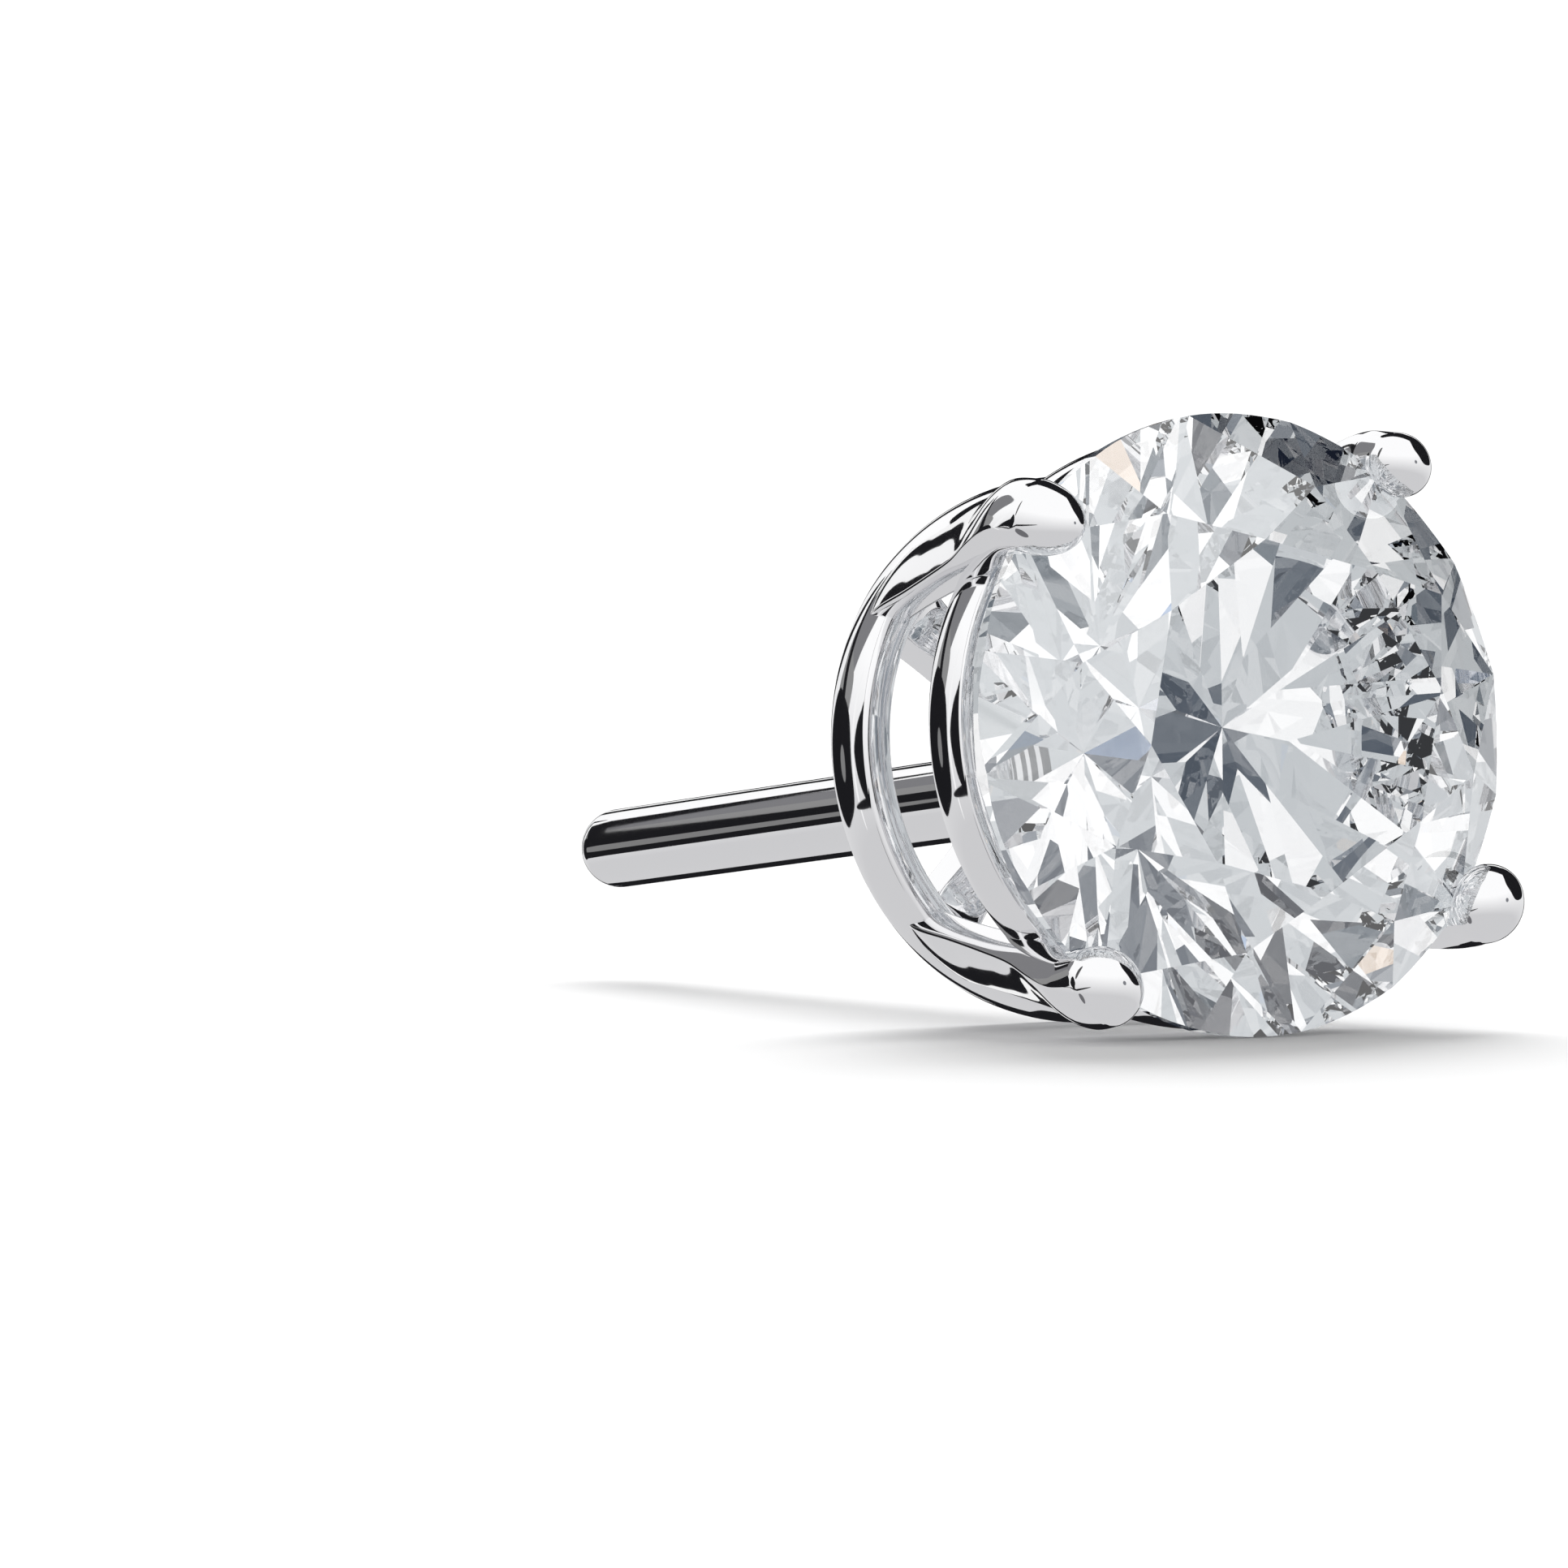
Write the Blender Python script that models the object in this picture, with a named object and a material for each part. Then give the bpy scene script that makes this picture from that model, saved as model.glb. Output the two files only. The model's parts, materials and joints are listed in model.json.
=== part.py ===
"""Stud earring: a round brilliant in a four-claw basket with two rails, on a straight ear post.

The earring is modelled upright, the table of the stone facing +Z and the post running down -Z,
with the middle of the girdle at the origin. An empty then lays it on the ground, where it rests on
the girdle and on the lower rail with the table facing -Y. The ground is z = 0, and the origin ends
up below the middle of the earring's bounding box.
"""
import math

import bmesh
import bpy
from mathutils import Matrix, Vector

MM = 0.001

# Stone
STONE_DIAMETER = 6.50 * MM
TABLE_DIAMETER = 3.70 * MM
GIRDLE_THICKNESS = 0.20 * MM
CROWN_ANGLE = math.radians(34.5)
PAVILION_ANGLE = math.radians(40.75)
STAR_REACH = 0.50
LOWER_HALF_REACH = 0.78
GIRDLE_SIDES = 64

# Rails of the basket
UPPER_RAIL_HEIGHT = 0.68 * MM
LOWER_RAIL_HEIGHT = 0.74 * MM
RAIL_THICKNESS = 0.42 * MM
RAIL_CROWNING = 0.05 * MM
RAIL_CORNER = 0.10 * MM
UPPER_RAIL_DEPTH = 0.54 * MM
UPPER_RAIL_LIP = 0.31 * MM
LOWER_RAIL_STEP_IN = 0.19 * MM
RAIL_SIDES = 64

# Claws, each a wire that starts behind the stone, crosses the back and rises past both rails
CLAW_COUNT = 4
CLAW_THICKNESS = 0.55 * MM
CLAW_FOOT_WIDTH = 0.62 * MM
CLAW_TOP_WIDTH = 0.84 * MM
CLAW_BEND = 0.45 * MM
CLAW_PROUD_OF_LOWER_RAIL = 0.10 * MM
CLAW_PROUD_OF_UPPER_RAIL = 0.30 * MM
CLAW_WALL_AT_GIRDLE = 0.50 * MM
CLAW_SQUARENESS = 0.62
RAIL_LET_INTO_CLAW = 0.42 * MM

# Rounded tips of the claws
TIP_WIDTH = 0.90 * MM
TIP_DEPTH = 0.84 * MM
TIP_BEYOND_GIRDLE = 0.22 * MM
TIP_RISE = 0.28 * MM

# Boss and post, which stands off the middle, towards the ground, so its weight keeps that side down
POST_DIAMETER = 0.91 * MM
POST_LENGTH = 9.60 * MM
POST_OFFSET = 0.36 * MM
POST_SIDES = 24
BOSS_MARGIN = 0.10 * MM
BOSS_STANDS_BACK = 0.12 * MM
BOSS_EDGE = 0.08 * MM
BOSS_SIDES = 32

# Clearances between the stone and the metal
SEAT_CLEARANCE = 0.04 * MM
RAIL_CLEARANCE = 0.07 * MM
CULET_CLEARANCE = 0.15 * MM

STONE_RADIUS = STONE_DIAMETER / 2
HALF_GIRDLE = GIRDLE_THICKNESS / 2
CULET_DEPTH = HALF_GIRDLE + STONE_RADIUS * math.tan(PAVILION_ANGLE)

# The wires cross the back just behind the culet, and the lower rail is let into them
WIRE_FRONT_DEPTH = CULET_DEPTH + CULET_CLEARANCE
WIRE_MIDDLE_DEPTH = WIRE_FRONT_DEPTH + CLAW_THICKNESS / 2
WIRE_BACK_DEPTH = WIRE_FRONT_DEPTH + CLAW_THICKNESS
LOWER_RAIL_BACK = WIRE_FRONT_DEPTH + RAIL_LET_INTO_CLAW
BOSS_BACK_DEPTH = WIRE_BACK_DEPTH + BOSS_STANDS_BACK

# The upper rail stands just outside the pavilion and has its front lip cut to the pavilion's slope
PAVILION_RUN = (UPPER_RAIL_DEPTH - HALF_GIRDLE) / math.tan(PAVILION_ANGLE)
UPPER_RAIL_OUTER = STONE_RADIUS - PAVILION_RUN + RAIL_CLEARANCE + UPPER_RAIL_LIP
LOWER_RAIL_OUTER = UPPER_RAIL_OUTER - LOWER_RAIL_STEP_IN

# One and a half girdle facets, so that the stone lies on a facet and not on a corner of its girdle
ROLL = 3 * math.pi / GIRDLE_SIDES

# The direction about the axis that ends up facing the ground
GROUND_SIDE = 3 * math.pi / 2 - ROLL


def make_material(name, colour, metallic, roughness, transmission=0.0, ior=1.5):
    """A plain Principled material."""
    material = bpy.data.materials.new(name)
    material.use_nodes = True
    shader = material.node_tree.nodes["Principled BSDF"]
    shader.inputs["Base Color"].default_value = (*colour, 1.0)
    shader.inputs["Metallic"].default_value = metallic
    shader.inputs["Roughness"].default_value = roughness
    shader.inputs["Transmission Weight"].default_value = transmission
    shader.inputs["IOR"].default_value = ior
    return material


def link_mesh(name, mesh):
    """A new object for the mesh, in the scene."""
    item = bpy.data.objects.new(name, mesh)
    bpy.context.scene.collection.objects.link(item)
    return item


def hull_of_points(name, points):
    """The convex solid on a list of points, with its flat facets as single faces."""
    form = bmesh.new()
    for point in points:
        form.verts.new(point)
    hull = bmesh.ops.convex_hull(form, input=form.verts)
    left_over = hull["geom_interior"] + hull["geom_unused"]
    spare = [item for item in left_over if isinstance(item, bmesh.types.BMVert)]
    bmesh.ops.delete(form, geom=spare, context="VERTS")
    bmesh.ops.dissolve_limit(
        form, angle_limit=math.radians(0.1), verts=form.verts, edges=form.edges
    )
    bmesh.ops.recalc_face_normals(form, faces=form.faces)
    mesh = bpy.data.meshes.new(name)
    form.to_mesh(mesh)
    form.free()
    return link_mesh(name, mesh)


def on_circle(radius, angle, height):
    """The point at a radius and an angle about Z, at a height."""
    return Vector((radius * math.cos(angle), radius * math.sin(angle), height))


def height_on_plane(corner_a, corner_b, corner_c, x, y):
    """The height at x, y of the plane through three points."""
    normal = (corner_b - corner_a).cross(corner_c - corner_a)
    return corner_a.z - (normal.x * (x - corner_a.x) + normal.y * (y - corner_a.y)) / normal.z


def brilliant_points(clearance):
    """Corners of a round brilliant whose facets stand outside the stone's by the clearance.

    Kite facets on the crown and main facets on the pavilion face the eight main directions. The
    star tips and the tips of the lower halves lie half way between these. Each half facet is the
    plane through one such tip and the two ends of its stretch of girdle.
    """
    mains = 8
    radius = STONE_RADIUS + clearance
    half_girdle = HALF_GIRDLE + clearance / 2
    half_step = math.pi / mains
    table_radius = TABLE_DIAMETER / 2
    crown_slope = math.tan(CROWN_ANGLE)
    pavilion_slope = math.tan(PAVILION_ANGLE)
    table_edge = table_radius * math.cos(half_step)
    star_radius = table_edge + STAR_REACH * (radius - table_edge)
    star_height = half_girdle + (radius - star_radius * math.cos(half_step)) * crown_slope
    tip_radius = radius * (1 - LOWER_HALF_REACH)
    tip_height = -half_girdle - (radius - tip_radius * math.cos(half_step)) * pavilion_slope
    table_height = half_girdle + (radius - table_radius) * crown_slope
    points = [Vector((0.0, 0.0, -half_girdle - radius * pavilion_slope))]
    for main in range(mains):
        middle = 2 * main * half_step
        points.append(on_circle(table_radius, middle, table_height))
        points.append(on_circle(star_radius, middle + half_step, star_height))
        points.append(on_circle(tip_radius, middle + half_step, tip_height))
    stretch = GIRDLE_SIDES // (2 * mains)
    for side in range(GIRDLE_SIDES):
        angle = 2 * math.pi * side / GIRDLE_SIDES
        half_facet = side // stretch
        ends = (half_facet * half_step, (half_facet + 1) * half_step)
        tip_angle = ends[0] if half_facet % 2 else ends[1]
        for tip, level in ((star_radius, half_girdle), (tip_radius, -half_girdle)):
            tip_level = star_height if level > 0 else tip_height
            corners = [on_circle(radius, end, level) for end in ends]
            corners.append(on_circle(tip, tip_angle, tip_level))
            spot = on_circle(radius, angle, 0.0)
            spot.z = height_on_plane(*corners, spot.x, spot.y)
            points.append(spot)
    return points


def arc(centre, radius, start, end, steps):
    """Points on an arc, as pairs of radius and height."""
    angles = [start + (end - start) * step / steps for step in range(steps + 1)]
    return [(centre[0] + radius * math.cos(a), centre[1] + radius * math.sin(a)) for a in angles]


def upper_rail_outline():
    """Section of the rail just behind the girdle, with a seat for the pavilion."""
    seat = RAIL_THICKNESS - UPPER_RAIL_LIP
    return rail_outline(UPPER_RAIL_OUTER, UPPER_RAIL_DEPTH, UPPER_RAIL_HEIGHT, seat)


def lower_rail_outline():
    """Section of the rail at the back of the basket."""
    front_depth = LOWER_RAIL_BACK - LOWER_RAIL_HEIGHT
    return rail_outline(LOWER_RAIL_OUTER, front_depth, LOWER_RAIL_HEIGHT, RAIL_CORNER / 2)


def rail_outline(outer_radius, front_depth, height, seat):
    """A rail's section, its outer face crowned and its outer corners rounded, front to back.

    The inner front corner is cut back by the seat's width, at the pavilion's slope.
    """
    quarter = math.pi / 2
    inner = outer_radius - RAIL_THICKNESS
    shoulder = outer_radius - RAIL_CROWNING - RAIL_CORNER
    front = -front_depth
    back = front - height
    outline = arc((shoulder, front - RAIL_CORNER), RAIL_CORNER, quarter, 0.0, 2)
    outline.append((outer_radius, (front + back) / 2))
    outline += arc((shoulder, back + RAIL_CORNER), RAIL_CORNER, 0.0, -quarter, 2)
    chamfer = RAIL_CORNER / 2
    outline += [(inner + chamfer, back), (inner, back + chamfer)]
    outline += [(inner, front - seat * math.tan(PAVILION_ANGLE)), (inner + seat, front)]
    return outline


def turned_ring(name, outline, sides):
    """A closed outline turned about Z, with a flat of the ring towards the ground."""
    form = bmesh.new()
    first = GROUND_SIDE + math.pi / sides
    rows = []
    for side in range(sides):
        angle = first + 2 * math.pi * side / sides
        rows.append([form.verts.new(on_circle(r, angle, z)) for r, z in outline])
    join_rows(form, rows, closed=True)
    return finish_mesh(name, form)


def join_rows(form, rows, closed):
    """Quads between each row of corners and the next, round each row."""
    count = len(rows[0])
    last = len(rows) if closed else len(rows) - 1
    for index in range(last):
        row = rows[index]
        other = rows[(index + 1) % len(rows)]
        for spot in range(count):
            after = (spot + 1) % count
            form.faces.new((row[spot], row[after], other[after], other[spot]))


def finish_mesh(name, form):
    """Turn a bmesh into a smooth-shaded object with its faces pointing out."""
    bmesh.ops.recalc_face_normals(form, faces=form.faces)
    mesh = bpy.data.meshes.new(name)
    form.to_mesh(mesh)
    form.free()
    mesh.shade_smooth()
    mesh.set_sharp_from_angle(angle=math.radians(35))
    return link_mesh(name, mesh)


def turned_solid(name, outline, sides):
    """A solid turned about Z from an outline that starts and ends on the axis."""
    form = bmesh.new()
    rows = []
    for side in range(sides):
        angle = 2 * math.pi * side / sides
        rows.append([form.verts.new(on_circle(r, angle, z)) for r, z in outline[1:-1]])
    top = form.verts.new((0.0, 0.0, outline[0][1]))
    bottom = form.verts.new((0.0, 0.0, outline[-1][1]))
    for side in range(sides):
        row = rows[side]
        other = rows[(side + 1) % sides]
        form.faces.new((top, row[0], other[0]))
        form.faces.new((bottom, other[-1], row[-1]))
        for spot in range(len(row) - 1):
            form.faces.new((row[spot], row[spot + 1], other[spot + 1], other[spot]))
    return finish_mesh(name, form)


def claw_path():
    """Middle line of a claw in its radial plane, with the claw's width, from the axis to its tip.

    It runs out behind the culet, turns up round an arc and leans out past both rails to the
    girdle, where it turns in over the crown.
    """
    half = CLAW_THICKNESS / 2
    lower = (
        LOWER_RAIL_OUTER + CLAW_PROUD_OF_LOWER_RAIL - half,
        LOWER_RAIL_HEIGHT / 2 - LOWER_RAIL_BACK,
    )
    upper = (
        UPPER_RAIL_OUTER + CLAW_PROUD_OF_UPPER_RAIL - half,
        -UPPER_RAIL_DEPTH - UPPER_RAIL_HEIGHT / 2,
    )
    girdle = (STONE_RADIUS + SEAT_CLEARANCE + CLAW_WALL_AT_GIRDLE - half, 0.0)
    tip = tip_centre()
    lean = math.atan2(upper[0] - lower[0], upper[1] - lower[1])
    foot = lower[0] - (lower[1] + WIRE_MIDDLE_DEPTH) * math.tan(lean)
    turn = math.pi / 2 - lean
    setback = CLAW_BEND * math.tan(turn / 2)
    bend_centre = (foot - setback, CLAW_BEND - WIRE_MIDDLE_DEPTH)
    path = [(0.0, -WIRE_MIDDLE_DEPTH), (bend_centre[0] / 2, -WIRE_MIDDLE_DEPTH)]
    path += arc(bend_centre, CLAW_BEND, -math.pi / 2, -lean, 5)
    path += smooth_through([lower, upper, girdle, tip], 4)
    rise = girdle[1] - lower[1]
    widths = []
    for _, height in path:
        share = min(max((height - lower[1]) / rise, 0.0), 1.0)
        widths.append(CLAW_FOOT_WIDTH + (CLAW_TOP_WIDTH - CLAW_FOOT_WIDTH) * share)
    return path, widths


def smooth_through(knots, steps):
    """A Catmull-Rom curve through the knots, with steps points for each span."""
    padded = [knots[0]] + knots + [knots[-1]]
    points = [knots[0]]
    for span in range(len(knots) - 1):
        before, start, end, after = padded[span:span + 4]
        for step in range(1, steps + 1):
            t = step / steps
            point = []
            for axis in range(2):
                slope_in = (end[axis] - before[axis]) / 2
                slope_out = (after[axis] - start[axis]) / 2
                rise = end[axis] - start[axis]
                bend = 3 * rise - 2 * slope_in - slope_out
                twist = slope_in + slope_out - 2 * rise
                point.append(start[axis] + slope_in * t + bend * t ** 2 + twist * t ** 3)
            points.append(tuple(point))
    return points


def tip_centre():
    """Middle of a claw's rounded tip, in the claw's radial plane."""
    return (STONE_RADIUS + TIP_BEYOND_GIRDLE, HALF_GIRDLE + TIP_RISE)


def wire_section(width, thickness):
    """A rounded oblong as a superellipse, in pairs across and along the thickness."""
    corners = 12
    section = []
    for corner in range(corners):
        angle = 2 * math.pi * (corner + 0.5) / corners
        across = math.copysign(abs(math.cos(angle)) ** CLAW_SQUARENESS, math.cos(angle))
        along = math.copysign(abs(math.sin(angle)) ** CLAW_SQUARENESS, math.sin(angle))
        section.append((across * width / 2, along * thickness / 2))
    return section


def make_claw(name, angle):
    """One claw: the wire section carried along the claw's path, square to it at every point."""
    path, widths = claw_path()
    spots = [Vector((r, 0.0, z)) for r, z in path]
    form = bmesh.new()
    rows = []
    for index, spot in enumerate(spots):
        before = spots[max(index - 1, 0)]
        after = spots[min(index + 1, len(spots) - 1)]
        ahead = (after - before).normalized()
        outward = Vector((ahead.z, 0.0, -ahead.x))
        row = []
        for across, along in wire_section(widths[index], CLAW_THICKNESS):
            row.append(form.verts.new(spot + outward * along + Vector((0.0, across, 0.0))))
        rows.append(row)
    join_rows(form, rows, closed=False)
    form.faces.new(rows[0])
    form.faces.new(rows[-1])
    form.transform(Matrix.Rotation(angle, 4, "Z"))
    return finish_mesh(name, form)


def make_tip(name, angle):
    """The rounded tip of one claw, which overlaps the edge of the crown."""
    radius, height = tip_centre()
    form = bmesh.new()
    bmesh.ops.create_uvsphere(form, u_segments=20, v_segments=12, radius=0.5)
    form.transform(Matrix.Diagonal((TIP_DEPTH, TIP_WIDTH, TIP_DEPTH, 1.0)))
    form.transform(Matrix.Translation((radius, 0.0, height)))
    form.transform(Matrix.Rotation(angle, 4, "Z"))
    return finish_mesh(name, form)


def make_boss():
    """The round boss where the four wires meet, with a flat back."""
    boss = POST_OFFSET + POST_DIAMETER / 2 + BOSS_MARGIN
    outline = [(0.0, -WIRE_FRONT_DEPTH), (boss - BOSS_EDGE, -WIRE_FRONT_DEPTH)]
    outline += [(boss, -WIRE_FRONT_DEPTH - BOSS_EDGE), (boss, BOSS_EDGE - BOSS_BACK_DEPTH)]
    outline += [(boss - BOSS_EDGE, -BOSS_BACK_DEPTH), (0.0, -BOSS_BACK_DEPTH)]
    return turned_solid("boss", outline, BOSS_SIDES)


def make_post():
    """The straight post, from inside the boss to its rounded end."""
    radius = POST_DIAMETER / 2
    end = -BOSS_BACK_DEPTH - POST_LENGTH
    outline = [(0.0, -WIRE_MIDDLE_DEPTH), (radius, -WIRE_MIDDLE_DEPTH)]
    outline += arc((0.0, end + radius), radius, 0.0, -math.pi / 2, 6)
    post = turned_solid("post", outline, POST_SIDES)
    post.data.transform(Matrix.Translation(on_circle(POST_OFFSET, GROUND_SIDE, 0.0)))
    return post


def fuse(body, pieces, name):
    """Join pieces to a body with one Boolean union."""
    group = bpy.data.collections.new(name)
    bpy.context.scene.collection.children.link(group)
    for piece in pieces:
        bpy.context.scene.collection.objects.unlink(piece)
        group.objects.link(piece)
        mark_as_tool(piece)
    union = body.modifiers.new(name, "BOOLEAN")
    union.operation = "UNION"
    union.operand_type = "COLLECTION"
    union.collection = group
    union.solver = "EXACT"


def mark_as_tool(piece):
    """Show a piece as a wire only, since it shapes another one and isn't part of the earring."""
    piece.hide_render = True
    piece.display_type = "WIRE"


def cut_seat(body, cutter):
    """Cut the stone's seat, with its clearance, into the claws."""
    mark_as_tool(cutter)
    cut = body.modifiers.new("stone_seat", "BOOLEAN")
    cut.operation = "DIFFERENCE"
    cut.object = cutter
    cut.solver = "EXACT"


def make_stone():
    """The brilliant, at its own size."""
    stone = hull_of_points("stone", brilliant_points(0.0))
    stone.data.materials.append(
        make_material("clear_stone", (0.97, 0.98, 1.0), 0.0, 0.0, transmission=1.0, ior=2.42)
    )
    return stone


def make_setting():
    """Rails, claws, boss and post as one cast and soldered solid, with the seat cut in it."""
    setting = turned_ring("setting", lower_rail_outline(), RAIL_SIDES)
    pieces = [turned_ring("upper_rail", upper_rail_outline(), RAIL_SIDES)]
    pieces += [make_boss(), make_post()]
    for claw in range(CLAW_COUNT):
        angle = math.pi / CLAW_COUNT + 2 * math.pi * claw / CLAW_COUNT
        pieces.append(make_claw(f"claw_{claw + 1}", angle))
        pieces.append(make_tip(f"claw_tip_{claw + 1}", angle))
    fuse(setting, pieces, "soldered_pieces")
    cut_seat(setting, hull_of_points("seat_cutter", brilliant_points(SEAT_CLEARANCE)))
    setting.data.materials.append(make_material("white_metal", (0.86, 0.86, 0.87), 1.0, 0.06))
    return setting


def rest_tilt():
    """How far the table faces up at rest.

    The earring rolls down on the girdle's back edge until the first of the rails or the post
    meets the ground, so the tilt is the smallest slope from that edge to any of them.
    """
    edge = STONE_RADIUS * math.cos(math.pi / GIRDLE_SIDES)
    flat = math.cos(math.pi / RAIL_SIDES)
    touching = [(r * flat, -z) for r, z in lower_rail_outline() + upper_rail_outline()]
    post_reach = POST_OFFSET + POST_DIAMETER / 2
    touching.append((post_reach, BOSS_BACK_DEPTH + POST_LENGTH - POST_DIAMETER / 2))
    slopes = [math.atan2(edge - r, depth - HALF_GIRDLE) for r, depth in touching]
    return min(slopes)


def corners_in_world(items):
    """All corners of the finished objects, in world space."""
    bpy.context.view_layer.update()
    depsgraph = bpy.context.evaluated_depsgraph_get()
    corners = []
    for item in items:
        ready = item.evaluated_get(depsgraph)
        mesh = ready.to_mesh()
        corners += [ready.matrix_world @ vertex.co for vertex in mesh.vertices]
        ready.to_mesh_clear()
    return corners


def lay_down(items):
    """Parent the pieces to one empty, and lay it on the ground with its box over the origin."""
    tilt = rest_tilt()
    carrier = bpy.data.objects.new("earring", None)
    bpy.context.scene.collection.objects.link(carrier)
    for item in items:
        item.parent = carrier
    turn = Matrix.Rotation(math.pi / 2 - tilt, 4, "X") @ Matrix.Rotation(ROLL, 4, "Z")
    carrier.matrix_world = turn
    shown = [item for item in items if not item.hide_render]
    corners = corners_in_world(shown)
    low = [min(corner[axis] for corner in corners) for axis in range(3)]
    high = [max(corner[axis] for corner in corners) for axis in range(3)]
    shift = Vector((-(low[0] + high[0]) / 2, -(low[1] + high[1]) / 2, -low[2]))
    carrier.matrix_world = Matrix.Translation(shift) @ turn


def build():
    """Clear the scene, then make the stone and the setting and lay the earring down."""
    for item in list(bpy.data.objects):
        bpy.data.objects.remove(item, do_unlink=True)
    make_stone()
    make_setting()
    lay_down([item for item in bpy.data.objects if item.type == "MESH"])


build()
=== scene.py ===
"""Looks of the stud earring: polished white metal and a clear round brilliant on a white table.

All surfaces are worked out in the earring's own frame, with the middle of the girdle at the
origin, the table of the stone facing +Z and the post running down -Z. One matrix, read off the
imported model, then lays them on the ground.
"""
import json
import math

import bmesh
import bpy
import numpy as np
from mathutils import Matrix, Vector


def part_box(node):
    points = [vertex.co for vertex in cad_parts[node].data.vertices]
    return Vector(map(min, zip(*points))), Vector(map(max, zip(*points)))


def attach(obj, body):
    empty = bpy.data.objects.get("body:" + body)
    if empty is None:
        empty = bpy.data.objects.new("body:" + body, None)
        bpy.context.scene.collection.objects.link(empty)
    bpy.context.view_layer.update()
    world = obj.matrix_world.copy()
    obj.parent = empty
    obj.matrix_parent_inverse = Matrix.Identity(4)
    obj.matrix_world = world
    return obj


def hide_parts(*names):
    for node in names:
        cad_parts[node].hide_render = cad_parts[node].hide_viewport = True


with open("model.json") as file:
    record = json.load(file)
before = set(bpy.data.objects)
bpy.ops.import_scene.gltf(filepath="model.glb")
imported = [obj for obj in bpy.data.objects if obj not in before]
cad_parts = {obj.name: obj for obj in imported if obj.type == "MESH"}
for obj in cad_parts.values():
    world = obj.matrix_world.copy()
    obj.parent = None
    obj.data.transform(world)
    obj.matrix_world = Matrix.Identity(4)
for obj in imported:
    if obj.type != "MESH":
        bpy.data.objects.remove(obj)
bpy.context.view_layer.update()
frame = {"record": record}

MM = 0.001

# Stone, cut to the sizes of the solid
STONE_RADIUS = 3.25 * MM
TABLE_RADIUS = 1.85 * MM
HALF_GIRDLE = 0.10 * MM
CROWN_SLOPE = math.tan(math.radians(34.5))
PAVILION_SLOPE = math.tan(math.radians(40.75))
STAR_REACH = 0.50
LOWER_HALF_REACH = 0.78
MAINS = 8
GIRDLE_PER_HALF = 8

# Rails
UPPER_RAIL_RADIUS = 3.119 * MM
UPPER_RAIL_FRONT = 0.54 * MM
UPPER_RAIL_HEIGHT = 0.68 * MM
UPPER_RAIL_LIP = 0.31 * MM
LOWER_RAIL_RADIUS = 2.929 * MM
LOWER_RAIL_BACK = 3.470 * MM
LOWER_RAIL_HEIGHT = 0.74 * MM
RAIL_THICKNESS = 0.42 * MM
RAIL_CROWN = math.radians(15)
RAIL_FRONT_CROWN = math.radians(24)
RAIL_EDGE = 0.035 * MM
RAIL_SIDES = 256
RAIL_PROFILE_POINTS = 144

# Claws
CLAW_COUNT = 4
CLAW_ROLL = 3 * math.pi / 64
CLAW_CROWN = math.radians(13)
CLAW_SIDE_CROWN = math.radians(7)
CLAW_EDGE = 0.05 * MM
CLAW_TAPER = math.tan(math.radians(-7))
CLAW_FOOT_TURNS = np.radians([-7.0, -1.0, -7.0, -1.0])
CLAW_TIP_TURNS = np.radians([0.0, -3.0, -1.5, 1.5])
CLAW_TIP_SCALES = (0.82, 0.90, 1.0, 0.97)
CLAW_TIP_REACHES = np.array([0.34, 0.60, 0.43, 0.42]) * MM
CLAW_TIP_LEANS = np.radians([25.0, 35.0, 25.0, 25.0])
CLAW_LEAN_ROWS = 8
CLAW_STEPS = 10
CLAW_PROFILE_POINTS = 96
CLAW_CAP_ROWS = 23
ROUND_SIDE = math.radians(44.9)
CLAW_KNOTS = np.array([
    (0.00, -3.325, 0.30, 0.27, 0.0),
    (0.90, -3.325, 0.30, 0.27, 0.0),
    (1.80, -3.325, 0.31, 0.27, 0.0),
    (2.28, -3.300, 0.34, 0.26, 0.0),
    (2.62, -3.130, 0.38, 0.24, 0.0),
    (2.80, -2.80, 0.41, 0.22, 0.0),
    (2.96, -2.10, 0.42, 0.205, 0.0),
    (3.09, -1.45, 0.42, 0.215, 0.0),
    (3.21, -0.85, 0.42, 0.24, 0.04),
    (3.34, -0.40, 0.42, 0.28, 0.20),
    (3.42, -0.05, 0.43, 0.34, 0.60),
    (3.42, 0.30, 0.45, 0.41, 1.0),
]) * np.array([MM, MM, MM, MM, 1.0])
SEAT_CLEARANCE = 0.015 * MM
SHARP_FROM = math.radians(30)

# Wires across the back, boss and post
WIRE_MIDDLE = 3.325 * MM
BOSS_RADIUS = 0.915 * MM
BOSS_BACK = 3.720 * MM
BOSS_THICKNESS = 0.67 * MM
BOSS_EDGE = 0.09 * MM
BOSS_SIDES = 128
POST_RADIUS = 0.455 * MM
POST_OFFSET = 0.36 * MM
POST_LENGTH = 9.60 * MM
POST_ROWS = 24
POST_SIDES = 96

LOWER_RAIL_MIDDLE = LOWER_RAIL_BACK - LOWER_RAIL_HEIGHT / 2
CULET_DEPTH = HALF_GIRDLE + STONE_RADIUS * PAVILION_SLOPE


def earring_frame():
    """The matrix from the earring's own frame to the ground.

    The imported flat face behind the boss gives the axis, and the stone's box the girdle's middle:
    half way between its sides and its top and bottom, and a culet's depth before its back.
    """
    ear_side = next(m for m in frame["record"]["mounts"] if m["name"] == "ear_side")
    _, along, down = ear_side["axis"]
    tilt = math.atan2(-down, along)
    low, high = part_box("stone")
    middle = (Vector(low) + Vector(high)) / 2
    middle.y = high[1] - CULET_DEPTH * math.cos(tilt)
    turn = Matrix.Rotation(math.pi / 2 - tilt, 4, "X") @ Matrix.Rotation(CLAW_ROLL, 4, "Z")
    return Matrix.Translation(middle) @ turn


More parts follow.
